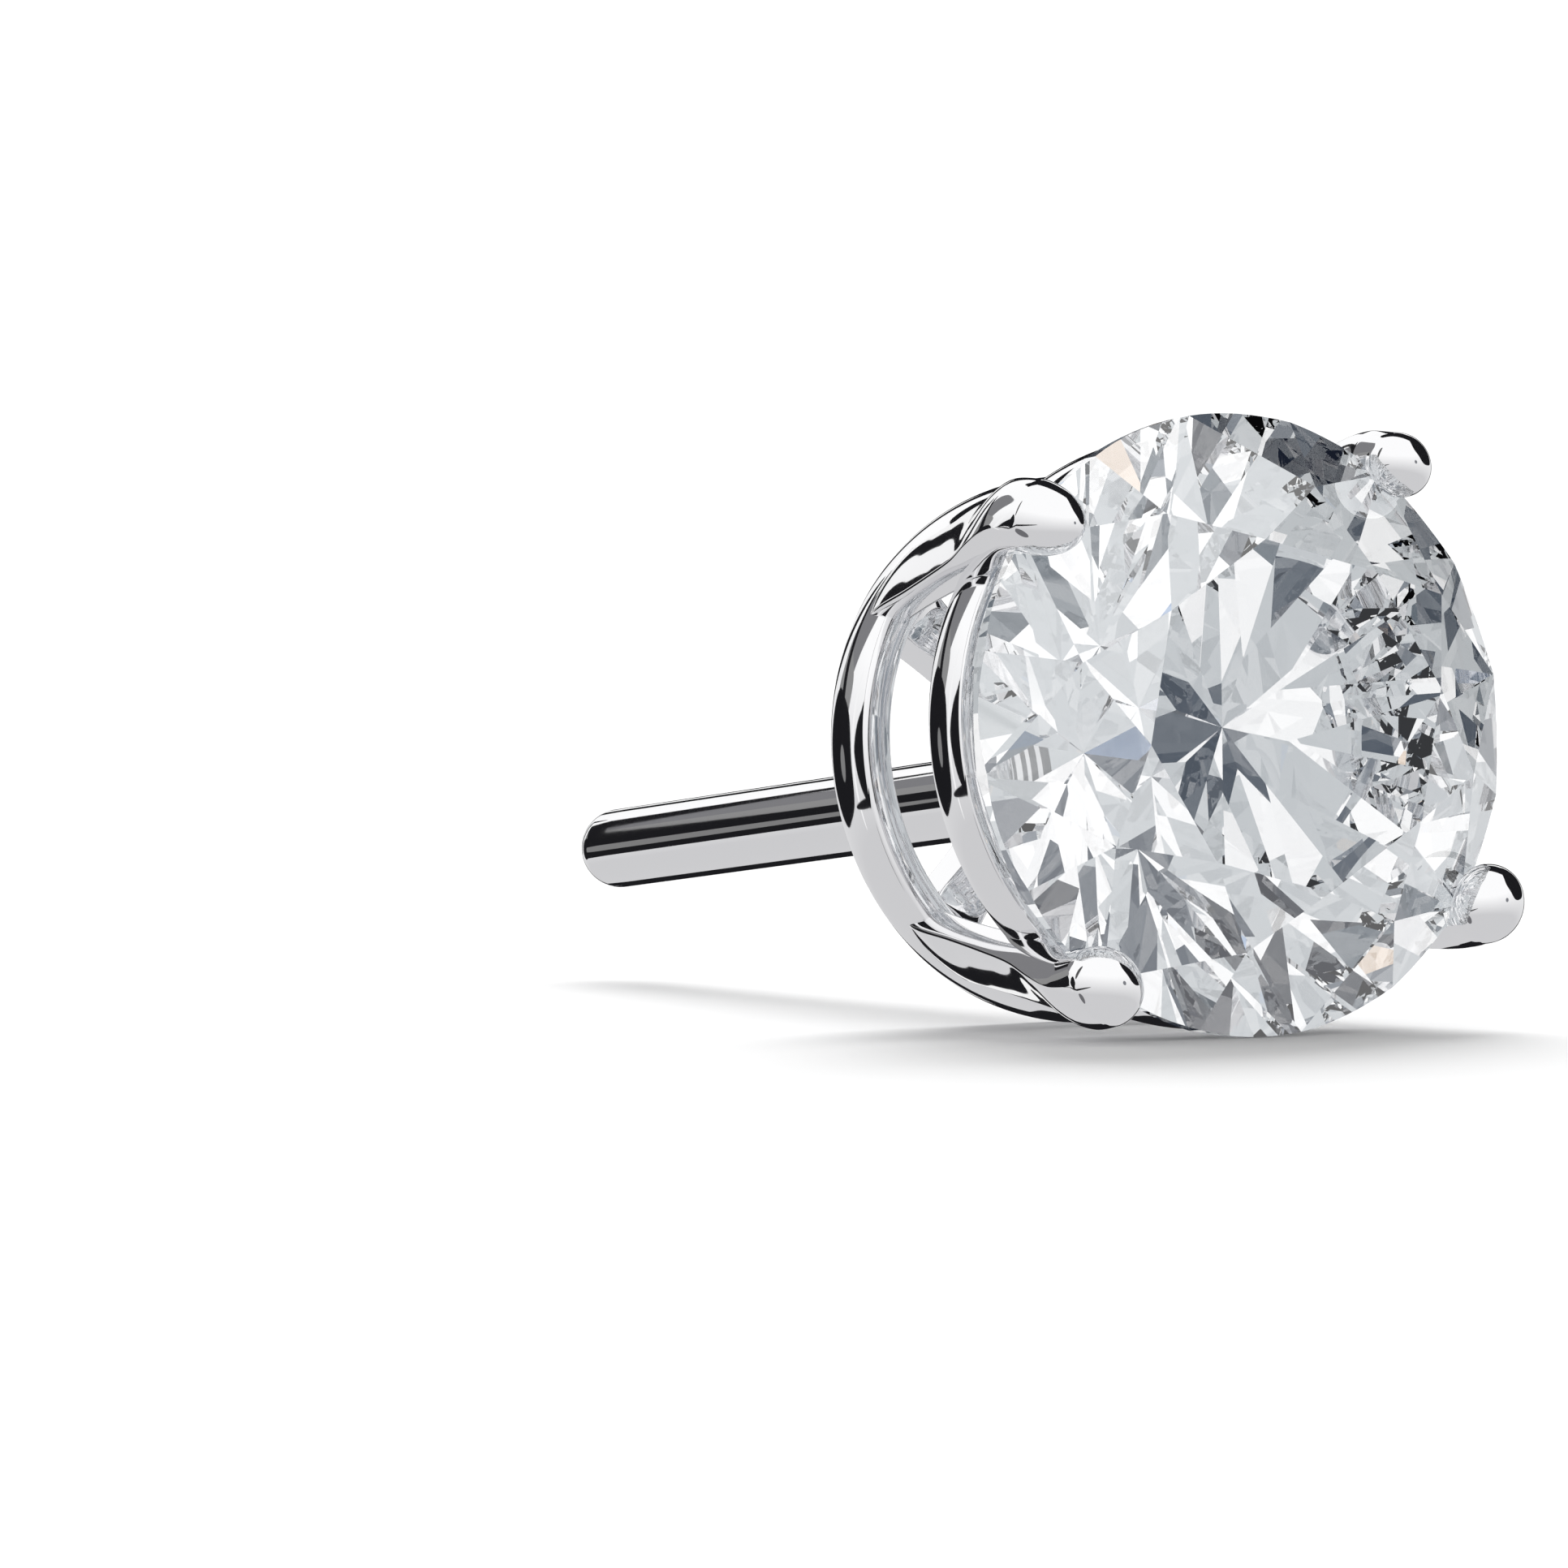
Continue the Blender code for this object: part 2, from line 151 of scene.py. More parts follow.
LAID_DOWN = earring_frame()
GIRDLE_MIDDLE = LAID_DOWN.translation


def turned_to_ground(points):
    """Points of the earring's own frame, as rows of an array, moved to the ground."""
    turn = np.array(LAID_DOWN.to_3x3())
    return points @ turn.T + np.array(LAID_DOWN.translation)


def add_mesh(name, points, faces, material, smooth=True):
    """A new object from an array of points and a list of index arrays, one array per face."""
    mesh = bpy.data.meshes.new(name)
    mesh.from_pydata(points.tolist(), [], [face for group in faces for face in group.tolist()])
    mesh.polygons.foreach_set("use_smooth", np.full(len(mesh.polygons), smooth))
    mesh.materials.append(material)
    mesh.update()
    item = bpy.data.objects.new(name, mesh)
    bpy.context.scene.collection.objects.link(item)
    return item


def grid_faces(rows, columns, close_rows):
    """Quads of a grid whose columns close on themselves, and whose rows may."""
    row = np.arange(rows if close_rows else rows - 1)[:, None]
    column = np.arange(columns)[None, :]
    after_row = (row + 1) % rows
    after = (column + 1) % columns
    quads = np.stack(
        [row * columns + column, row * columns + after,
         after_row * columns + after, after_row * columns + column], axis=-1
    )
    return quads.reshape(-1, 4)


def arc_sided(count, half_width, half_height, side_turn, end_turn, edge):
    """Points of a box of four arcs with rounded corners, one row per section.

    The sides are arcs whose normals turn by side_turn to either hand, the ends by end_turn, and
    the corners are arcs of radius edge between them. The two large radii follow from the half
    sizes: each half size is the sum of its arcs' reaches, and the two sums are solved together.
    Each point lies where the normal has the angle 2 pi (k + 1/2) / count.
    """
    across, along, turn, end, edge = (
        np.asarray(value, dtype=float)[..., None]
        for value in np.broadcast_arrays(half_width, half_height, side_turn, end_turn, edge)
    )
    rest_across = across - edge * (np.cos(turn) - np.sin(end))
    rest_along = along - edge * (np.cos(end) - np.sin(turn))
    a, b, c, d = 1 - np.cos(turn), np.sin(end), np.sin(turn), 1 - np.cos(end)
    side_radius = (rest_across * d - rest_along * b) / (a * d - b * c)
    end_radius = (rest_along * a - rest_across * c) / (a * d - b * c)
    angle = 2 * np.pi * (np.arange(count) + 0.5) / count
    folded = np.arcsin(np.abs(np.sin(angle)))
    sine, cosine = np.sin(folded), np.cos(folded)
    corner_x = across - side_radius + (side_radius - edge) * np.cos(turn)
    corner_y = (side_radius - edge) * np.sin(turn)
    on_side = folded < turn
    on_end = folded > np.pi / 2 - end
    x = np.where(on_side, across - side_radius * (1 - cosine), corner_x + edge * cosine)
    x = np.where(on_end, end_radius * cosine, x)
    y = np.where(on_side, side_radius * sine, corner_y + edge * sine)
    y = np.where(on_end, along - end_radius * (1 - sine), y)
    return np.sign(np.cos(angle)) * x, np.sign(np.sin(angle)) * y


def turned_ring(name, radius, height, sides, material):
    """A closed profile of radii and heights, carried once round the earring's axis."""
    angle = 2 * np.pi * np.arange(sides) / sides
    points = np.stack(
        [np.outer(np.cos(angle), radius), np.outer(np.sin(angle), radius),
         np.broadcast_to(height, (sides, len(height)))], axis=-1
    )
    points = turned_to_ground(points.reshape(-1, 3))
    item = add_mesh(name, points, [grid_faces(sides, len(height), True)], material)
    return face_outwards(item)


def face_outwards(item):
    """Recalculate the normals of a closed mesh so that they point out."""
    form = bmesh.new()
    form.from_mesh(item.data)
    bmesh.ops.recalc_face_normals(form, faces=form.faces)
    form.to_mesh(item.data)
    form.free()
    return item


def catmull_rom(knots, steps):
    """A smooth curve through the knots: on each span a cubic whose slope at a knot is half the
    step from the knot before to the knot after.
    """
    knots = np.asarray(knots, dtype=float)
    padded = np.concatenate([2 * knots[:1] - knots[1:2], knots, 2 * knots[-1:] - knots[-2:-1]])
    before, start, end, after = padded[:-3], padded[1:-2], padded[2:-1], padded[3:]
    t = np.linspace(0, 1, steps, endpoint=False)[None, :, None]
    slope_in = (end - before)[:, None, :] / 2
    slope_out = (after - start)[:, None, :] / 2
    rise = (end - start)[:, None, :]
    curve = (
        start[:, None, :] + slope_in * t + (3 * rise - 2 * slope_in - slope_out) * t ** 2
        + (slope_in + slope_out - 2 * rise) * t ** 3
    )
    return np.concatenate([curve.reshape(-1, knots.shape[1]), knots[-1:]])


def node(tree, kind, **values):
    """Add a shader node and set its inputs and properties by name."""
    made = tree.nodes.new(kind)
    for name, value in values.items():
        if hasattr(made, name):
            setattr(made, name, value)
        else:
            made.inputs[name.replace("_", " ")].default_value = value
    return made


def new_material(name):
    """An empty node material, its tree, its Principled shader and its Object coordinates."""
    material = bpy.data.materials.new(name)
    material.use_nodes = True
    tree = material.node_tree
    shader = tree.nodes["Principled BSDF"]
    place = tree.nodes.new("ShaderNodeTexCoord")
    return material, tree, shader, place.outputs["Object"]


def polished_white_metal():
    """Mirror-polished white gold: faint casting waves and a trace of polishing lines."""
    material, tree, shader, place = new_material("polished_white_metal")
    shader.inputs["Base Color"].default_value = (0.90, 0.90, 0.91, 1)
    shader.inputs["Metallic"].default_value = 1.0
    waves = node(tree, "ShaderNodeTexNoise", Scale=900.0, Detail=1.0)
    lines = node(tree, "ShaderNodeTexNoise", Scale=9000.0, Detail=3.0)
    polish = node(tree, "ShaderNodeMapRange", To_Min=0.025, To_Max=0.06)
    bump = node(tree, "ShaderNodeBump", Strength=0.3, Distance=0.0000015)
    link = tree.links.new
    link(place, waves.inputs["Vector"])
    link(place, lines.inputs["Vector"])
    link(lines.outputs["Fac"], polish.inputs["Value"])
    link(polish.outputs["Result"], shader.inputs["Roughness"])
    link(waves.outputs["Fac"], bump.inputs["Height"])
    link(bump.outputs["Normal"], shader.inputs["Normal"])
    return material


def clear_stone():
    """Clear cut stone with polished facets, slightly cool, its tint clouding very faintly."""
    material, tree, shader, place = new_material("clear_stone")
    cloud = node(tree, "ShaderNodeTexNoise", Scale=400.0, Detail=2.0)
    tint = tree.nodes.new("ShaderNodeMix")
    tint.data_type = "RGBA"
    colours = [socket for socket in tint.inputs if socket.type == "RGBA"]
    colours[0].default_value = (0.985, 0.99, 1.0, 1)
    colours[1].default_value = (1.0, 1.0, 1.0, 1)
    link = tree.links.new
    link(place, cloud.inputs["Vector"])
    link(cloud.outputs["Fac"], tint.inputs["Factor"])
    result = next(socket for socket in tint.outputs if socket.type == "RGBA")
    link(result, shader.inputs["Base Color"])
    shader.inputs["Roughness"].default_value = 0.0
    shader.inputs["IOR"].default_value = 2.42
    shader.inputs["Transmission Weight"].default_value = 1.0
    return material


def white_table():
    """The plain pale floor."""
    material, tree, shader, place = new_material("white_table")
    shader.inputs["Base Color"].default_value = (0.93, 0.93, 0.93, 1)
    shader.inputs["Roughness"].default_value = 0.5
    shader.inputs["Specular IOR Level"].default_value = 0.0
    return material


METAL = polished_white_metal()
STONE = clear_stone()


def brilliant(name, clearance, material):
    """A round brilliant whose facets stand outside the stone's by the clearance.

    Table corners and girdle mains lie every 45 degrees, star tips and lower-half tips half way
    between. The height of each girdle point is that of the half facet's plane there, so the
    girdle is scalloped. Rings of points, from table to culet, are joined facet by facet.
    """
    radius = STONE_RADIUS + clearance
    half = HALF_GIRDLE + clearance / 2
    step = np.pi / MAINS
    main = 2 * step * np.arange(MAINS)
    table_edge = TABLE_RADIUS * math.cos(step)
    star = table_edge + STAR_REACH * (radius - table_edge)
    star_level = half + (radius - star * math.cos(step)) * CROWN_SLOPE
    tip = radius * (1 - LOWER_HALF_REACH)
    tip_level = -half - (radius - tip * math.cos(step)) * PAVILION_SLOPE
    table_level = half + (radius - TABLE_RADIUS) * CROWN_SLOPE
    culet_level = -half - radius * PAVILION_SLOPE

    count = 2 * MAINS * GIRDLE_PER_HALF
    angle = 2 * np.pi * np.arange(count) / count
    crown_edge = radius_level(angle, radius, half, star, star_level, step)
    pavilion_edge = radius_level(angle, radius, -half, tip, tip_level, step)
    points = np.concatenate([
        ring(TABLE_RADIUS, main, table_level),
        ring(star, main + step, star_level),
        ring(radius, angle, crown_edge),
        ring(radius, angle, pavilion_edge),
        ring(tip, main + step, tip_level),
        np.array([[0.0, 0.0, culet_level]]),
    ])
    k = np.arange(MAINS)
    table = k
    stars = MAINS + k
    crown = 2 * MAINS
    pavilion = crown + count
    tips = pavilion + count + k
    culet = pavilion + count + MAINS
    per_main = 2 * GIRDLE_PER_HALF
    run = np.arange(GIRDLE_PER_HALF + 1)
    first = (per_main * k[:, None] + run[None, :]) % count
    second = (per_main * k[:, None] + GIRDLE_PER_HALF + run[None, :]) % count
    side = np.arange(count)
    after = (side + 1) % count
    last = np.roll(k, 1)
    faces = [
        table[None, :],
        np.stack([table[k], stars[k], table[(k + 1) % MAINS]], axis=1),
        np.stack([table[k], stars[last], crown + per_main * k, stars[k]], axis=1),
        np.concatenate([stars[:, None], crown + first], axis=1),
        np.concatenate([stars[:, None], crown + second], axis=1),
        np.stack([crown + side, pavilion + side, pavilion + after, crown + after], axis=1),
        np.concatenate([tips[:, None], pavilion + first[:, ::-1]], axis=1),
        np.concatenate([tips[:, None], pavilion + second[:, ::-1]], axis=1),
        np.stack([np.full(MAINS, culet), tips[k], pavilion + per_main * k, tips[last]], axis=1),
    ]
    item = add_mesh(name, turned_to_ground(points), faces, material, smooth=False)
    return face_outwards(item)


def ring(radius, angle, level):
    """Points at a radius, at each angle about the axis, at a level or levels."""
    level = np.broadcast_to(level, angle.shape)
    return np.stack([radius * np.cos(angle), radius * np.sin(angle), level], axis=-1)


def radius_level(angle, radius, level, tip, tip_level, step):
    """Height of the girdle's edge at each angle.

    The half facet is the plane through its tip and the two ends of its stretch of girdle, both at
    the given level. Along its own middle direction the plane rises from the chord between those
    ends to the tip, and it doesn't change across it.
    """
    half_facet = np.floor(angle / step + 1e-9)
    middle = (half_facet + 0.5) * step
    chord = radius * np.cos(step / 2)
    slope = (tip_level - level) / (chord - tip * np.cos(step / 2))
    out = radius * np.cos(angle - middle)
    return level - (out - chord) * slope


def rail(name, outer, front, height, lip):
    """A rail: a box of four arcs with a crisp edge, turned about the axis.

    Its inner front corner is planed off at the pavilion's slope where the stone needs room.
    """
    middle = (outer - RAIL_THICKNESS / 2, -front - height / 2)
    across, along = arc_sided(
        RAIL_PROFILE_POINTS, RAIL_THICKNESS / 2, height / 2, RAIL_CROWN, RAIL_FRONT_CROWN,
        RAIL_EDGE,
    )
    radius = middle[0] + across
    level = middle[1] + along
    seat = outer - lip
    limit = -front + (radius - seat) * PAVILION_SLOPE
    level = np.where(radius < seat, np.minimum(level, limit), level)
    return turned_ring(name, radius, level, RAIL_SIDES, METAL)


def claw(name, number):
    """One claw with its wire across the back: a box of four arcs carried along a smooth line.

    The line is a smooth curve through CLAW_KNOTS, which hold radius, level, half width, half
    thickness and roundness. It turns about the axis evenly from the foot's turn to the tip's, and
    in its last rows its direction leans evenly over the stone. Roundness blends the arcs from a
    flat-sided bar at 0 to a round bar at 1. The end is closed like an ellipsoid: the section
    shrinks by the cosine of an angle while the line goes on by its sine. Where the bar is round,
    each claw has a scale of its own, and its inner side stays where it is. Each point moves
    across by a share of its distance along, so the bar's sides draw together.
    """
    body = catmull_rom(CLAW_KNOTS, CLAW_STEPS)
    slim = 1 + (CLAW_TIP_SCALES[number] - 1) * np.clip(body[:, 4], 0, 1)
    body[:, 0] -= body[:, 3] * (1 - slim)
    body[:, 2:4] *= slim[:, None]
    end = body[-1]
    ahead = np.array([-np.sin(CLAW_TIP_LEANS[number]), np.cos(CLAW_TIP_LEANS[number])])
    turn = np.linspace(0, np.pi / 2, CLAW_CAP_ROWS + 2)[1:-1, None]
    reach = CLAW_TIP_REACHES[number]
    cap = np.concatenate(
        [end[:2] + ahead * reach * np.sin(turn), end[2:4] * np.cos(turn), 0 * turn + 1.0], axis=1
    )
    line = np.concatenate([body, cap])
    tangent = np.gradient(line[:, :2], axis=0)
    tangent /= np.linalg.norm(tangent, axis=1, keepdims=True)
    lean_by = (np.arange(len(line))[:, None] - len(body) + 1) / CLAW_LEAN_ROWS + 1
    lean_by = np.clip(lean_by, 0, 1)
    tangent = (1 - lean_by) * tangent + lean_by * ahead
    tangent /= np.linalg.norm(tangent, axis=1, keepdims=True)
    round_by = np.clip(line[:, 4], 0, 1)
    across, along = arc_sided(
        CLAW_PROFILE_POINTS, line[:, 2], line[:, 3],
        CLAW_SIDE_CROWN + round_by * (ROUND_SIDE - CLAW_SIDE_CROWN),
        CLAW_CROWN + round_by * (ROUND_SIDE - CLAW_CROWN),
        CLAW_EDGE * (1 - round_by),
    )
    across = across * (1 - CLAW_TAPER * (1 - round_by[:, None]) * along / line[:, 2:3])
    radius = line[:, :1] + along * tangent[:, 1:]
    level = line[:, 1:2] - along * tangent[:, :1]
    rows, columns = radius.shape
    tip = end[:2] + ahead * reach
    radius = np.append(radius.ravel(), tip[0])
    across = np.append(across.ravel(), 0.0)
    level = np.append(level.ravel(), tip[1])
    share = np.clip(1 + np.append(np.repeat(line[:, 1], columns), tip[1]) / LOWER_RAIL_MIDDLE, 0, 1)
    foot_turn, tip_turn = CLAW_FOOT_TURNS[number], CLAW_TIP_TURNS[number]
    angle = np.pi / CLAW_COUNT + 2 * np.pi * number / CLAW_COUNT
    angle = angle + foot_turn + (tip_turn - foot_turn) * share
    points = turned_to_ground(np.stack([
        radius * np.cos(angle) - across * np.sin(angle),
        radius * np.sin(angle) + across * np.cos(angle),
        level,
    ], axis=-1))
    column = np.arange(columns)
    last_row = (rows - 1) * columns
    fan = np.stack(
        [last_row + column, last_row + (column + 1) % columns, np.full(columns, rows * columns)],
        axis=1,
    )
    faces = [grid_faces(rows, columns, False), fan, column[None, ::-1]]
    item = add_mesh(name, points, faces, METAL)
    return face_outwards(item)


def turned_solid(name, radius, level, sides, shift=(0.0, 0.0, 0.0)):
    """A profile from one pole on the axis to the other, turned about the axis and then shifted."""
    angle = 2 * np.pi * np.arange(sides) / sides
    inner = slice(1, -1)
    points = np.stack(
        [np.outer(radius[inner], np.cos(angle)), np.outer(radius[inner], np.sin(angle)),
         np.repeat(level[inner, None], sides, axis=1)], axis=-1
    ).reshape(-1, 3)
    rows = len(radius) - 2
    poles = np.array([[0.0, 0.0, level[0]], [0.0, 0.0, level[-1]]])
    points = np.concatenate([points, poles]) + np.array(shift)
    side = np.arange(sides)
    after = (side + 1) % sides
    first = np.stack([np.full(sides, rows * sides), side, after], axis=1)
    base = (rows - 1) * sides
    last = np.stack([np.full(sides, rows * sides + 1), base + after, base + side], axis=1)
    faces = [grid_faces(rows, sides, False), first, last]
    return face_outwards(add_mesh(name, turned_to_ground(points), faces, METAL))


def boss():
    """The round boss that the wires meet in, with eased edges and a flat back."""
    turn = np.linspace(0, np.pi / 2, 9)
    half = BOSS_THICKNESS / 2
    centre = -BOSS_BACK + half
    radius = BOSS_RADIUS - BOSS_EDGE + BOSS_EDGE * np.sin(turn)
    level = half - BOSS_EDGE + BOSS_EDGE * np.cos(turn)
    flat = np.array([0.0, 0.4, 0.8]) * (BOSS_RADIUS - BOSS_EDGE)
    radius = np.concatenate([flat, radius, radius[::-1], flat[::-1]])
    level = np.concatenate([np.full(3, half), level, -level[::-1], np.full(3, -half)])
    return turned_solid("boss", radius, centre + level, BOSS_SIDES)


def ear_post():
    """The straight post behind the boss, its end rounded to half a ball."""
    start = -WIRE_MIDDLE
    end = -BOSS_BACK - POST_LENGTH
    turn = np.linspace(0, np.pi / 2, 17)
    straight = np.linspace(start, end + POST_RADIUS, POST_ROWS)
    radius = np.full(POST_ROWS, POST_RADIUS)
    radius = np.concatenate([[0.0], radius, POST_RADIUS * np.cos(turn[1:])])
    level = np.concatenate([[start], straight, end + POST_RADIUS * (1 - np.sin(turn[1:]))])
    shift = (-POST_OFFSET * math.sin(CLAW_ROLL), -POST_OFFSET * math.cos(CLAW_ROLL), 0.0)
    return turned_solid("ear_post", radius, level, POST_SIDES, shift)


def cut_seat(item, cutter):
    """Cut the stone's seat into a claw."""
    cut = item.modifiers.new("stone_seat", "BOOLEAN")
    cut.operation = "DIFFERENCE"
    cut.object = cutter
    cut.solver = "MANIFOLD"


def apply_modifiers(item):
    """Keep the mesh as its modifiers leave it, and drop the modifiers."""
    depsgraph = bpy.context.evaluated_depsgraph_get()
    finished = bpy.data.meshes.new_from_object(item.evaluated_get(depsgraph))
    item.modifiers.clear()
    item.data = finished
    item.data.shade_smooth()
    item.data.set_sharp_from_angle(angle=SHARP_FROM)


def setting_pieces():
    """Rails, claws, boss and post of the setting."""
    pieces = [
        rail("upper_rail", UPPER_RAIL_RADIUS, UPPER_RAIL_FRONT, UPPER_RAIL_HEIGHT, UPPER_RAIL_LIP),
        rail("lower_rail", LOWER_RAIL_RADIUS, LOWER_RAIL_BACK - LOWER_RAIL_HEIGHT,
             LOWER_RAIL_HEIGHT, RAIL_THICKNESS),
        boss(),
        ear_post(),
    ]
    cutter = brilliant("seat_cutter", SEAT_CLEARANCE, STONE)
    for number in range(CLAW_COUNT):
        made = claw(f"claw_{number + 1}", number)
        cut_seat(made, cutter)
        apply_modifiers(made)
        pieces.append(made)
    bpy.data.objects.remove(cutter)
    return pieces


for piece in setting_pieces():
    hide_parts("setting")
    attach(piece, "root")

stone = brilliant("brilliant", 0.0, STONE)
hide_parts("stone")
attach(stone, "root")


# Studio. The metal's surround goes from grey below to white above
FLOOR_REACH = 2.0
FLOOR_LIGHT = (0.64, 0.64, 0.64)
BACKDROP = (1.12, 1.12, 1.12)
METAL_SURROUND = ((0.30, (0.66, 0.66, 0.67)), (0.72, (1.08, 1.08, 1.08)))
BACK_LIGHT_HEIGHT = math.radians(45)
BACK_LIGHT_WIDTH = math.radians(44)
BACK_LIGHT_SHINE = 0.56
CARD_CORNERS = 48
CARD_RINGS = 10
CARD_REACH = 0.5
CARD_SPACING = 0.004
STONE_SURROUND = (0.62, 0.65, 0.67)
BLACK = (0.012, 0.012, 0.014)
WHITE = (1.15, 1.15, 1.15)

# Name, azimuth, elevation, width, height, lean, power of the outline, colour and what sees it
STUDIO_CARDS = (
    ("behind_black", 146, -4, 44, 62, 0, 2.0, BLACK, "metal"),
    ("behind_white", 150, -2, 24, 34, 0, 2.0, (0.95, 0.95, 0.95), "metal"),
    ("left_grey_high", 200, 24, 24, 26, 0, 3.0, (0.22, 0.22, 0.23), "metal"),
    ("left_grey_edge", 204, 11, 26, 14, 0, 3.0, (0.28, 0.28, 0.28), "metal"),
    ("left_black", 205, -3, 38, 26, 0, 3.0, BLACK, "metal"),
    ("front_left_black", 243, 0, 28, 34, 0, 1.4, BLACK, "metal"),
    ("post_grey", 209, -4, 8, 8, 0, 2.0, (0.22, 0.22, 0.22), "metal"),
    ("thin_white", 227, 0, 3, 44, 0, 2.0, (1.0, 1.0, 1.0), "metal"),
    ("rim_black", 149, 0, 8, 90, 0, 3.0, BLACK, "metal"),
    ("outline_black", 178, 8, 7, 30, 0, 2.0, BLACK, "metal"),
    ("leaning_line", 197, 15, 5, 40, 52, 2.0, BLACK, "metal"),
    ("low_seam", 266, -33, 16, 24, 0, 2.0, (0.16, 0.16, 0.17), "metal"),
    ("high_seam", 256, 30, 9, 36, 0, 2.0, (0.10, 0.10, 0.10), "metal"),
    ("right_black", 91, 28, 66, 52, 0, 3.0, BLACK, "metal"),
    ("high_black", 134, 50, 56, 34, 0, 2.5, BLACK, "metal"),
    ("bead_line", 262, -13, 80, 4, 8, 2.0, BLACK, "metal"),
    ("table_grey", 34, 9, 10, 10, 0, 2.0, (0.22, 0.23, 0.25), "metal"),
    ("stone_white_low", 294, -34, 56, 32, 10, 3.0, WHITE, "stone"),
    ("stone_white_high", 288, 36, 32, 30, 0, 3.0, WHITE, "stone"),
    ("stone_white_camera", 340, 2, 24, 44, 0, 3.0, WHITE, "stone"),
    ("stone_white_left", 264, 3, 20, 26, 0, 3.0, WHITE, "stone"),
    ("stone_white_top", 0, 60, 50, 40, 0, 3.0, WHITE, "stone"),
    ("stone_white_right", 48, 2, 18, 36, 0, 3.0, WHITE, "stone"),
    ("stone_white_back", 175, 0, 30, 30, 0, 3.0, WHITE, "stone"),
    ("stone_navy", 298, 8, 38, 29, 20, 3.0, (0.01, 0.015, 0.03), "stone"),
    ("stone_left_navy", 45, -25, 16, 14, 0, 3.0, (0.02, 0.03, 0.05), "stone"),
    ("stone_warm", 284, -8, 12, 16, 0, 3.0, (1.0, 0.84, 0.70), "stone"),
    ("stone_blue", 312, -8, 9, 10, 0, 3.0, (0.45, 0.58, 0.80), "stone"),
    ("stone_low_left", 268, -22, 26, 26, 0, 3.0, (0.07, 0.09, 0.11), "stone"),
    ("stone_low_middle", 318, -22, 22, 20, 10, 3.0, (0.13, 0.16, 0.19), "stone"),
    ("stone_high_left", 258, 28, 26, 24, 30, 3.0, (0.06, 0.08, 0.10), "stone"),
    ("stone_high_middle", 318, 38, 28, 26, 0, 3.0, (0.10, 0.12, 0.15), "stone"),
    ("stone_left", 243, 0, 22, 26, 0, 3.0, (0.14, 0.17, 0.20), "stone"),
    ("stone_right_navy", 22, 12, 30, 28, 0, 3.0, (0.06, 0.08, 0.11), "stone"),
    ("stone_right_low", 68, -15, 28, 32, 0, 3.0, (0.15, 0.18, 0.21), "stone"),
    ("stone_right_high", 110, 20, 34, 40, 0, 3.0, (0.30, 0.32, 0.35), "stone"),
    ("stone_back_low", 140, -20, 36, 40, 0, 3.0, (0.22, 0.25, 0.29), "stone"),
    ("stone_back_high", 205, 25, 34, 40, 0, 3.0, (0.24, 0.27, 0.31), "stone"),
)

# Camera, as the photograph sees the earring
VIEW_OFF_AXIS = math.radians(34.6)
VIEW_RISE = math.radians(1.5)
VIEW_DISTANCE = 90 * MM
PHOTO_SIDE = 1932
PHOTO_SCALE = 118.6 / MM
GIRDLE_PIXEL = (1527.5, 893.0)


def photo_camera():
    """A level camera that sees the girdle's middle from 34.6 degrees off the axis.

    Its heading and pitch put the girdle's middle on its pixel, and its lens gives the
    photograph's scale there.
    """
    axis = LAID_DOWN.to_3x3() @ Vector((0, 0, 1))
    tilt = math.asin(axis.z)
    cosine = (math.cos(VIEW_OFF_AXIS) - math.sin(tilt) * math.sin(VIEW_RISE)) / (
        math.cos(tilt) * math.cos(VIEW_RISE)
    )
    side = math.acos(cosine)
    back = Vector((
        -math.sin(side) * math.cos(VIEW_RISE),
        -math.cos(side) * math.cos(VIEW_RISE),
        math.sin(VIEW_RISE),
    ))
    camera = bpy.data.cameras.new("camera")
    camera.sensor_width = 36
    item = bpy.data.objects.new("camera", camera)
    bpy.context.scene.collection.objects.link(item)
    item.location = GIRDLE_MIDDLE + VIEW_DISTANCE * back
    heading, pitch = side, -VIEW_RISE
    for _ in range(30):
        turn = Matrix.Rotation(-heading, 3, "Z") @ Matrix.Rotation(math.pi / 2 + pitch, 3, "X")
        seen = turn.transposed() @ (GIRDLE_MIDDLE - item.location)
        scale = PHOTO_SCALE * -seen.z
        across = PHOTO_SIDE / 2 + scale * seen.x / -seen.z
        down = PHOTO_SIDE / 2 - scale * seen.y / -seen.z
        heading -= (GIRDLE_PIXEL[0] - across) / scale
        pitch += (GIRDLE_PIXEL[1] - down) / scale
    camera.lens = scale / PHOTO_SIDE * camera.sensor_width
    item.rotation_euler = turn.to_euler()
    camera.clip_start = 1 * MM
    camera.clip_end = 10
    bpy.context.scene.camera = item
    return back


TO_CAMERA = photo_camera()


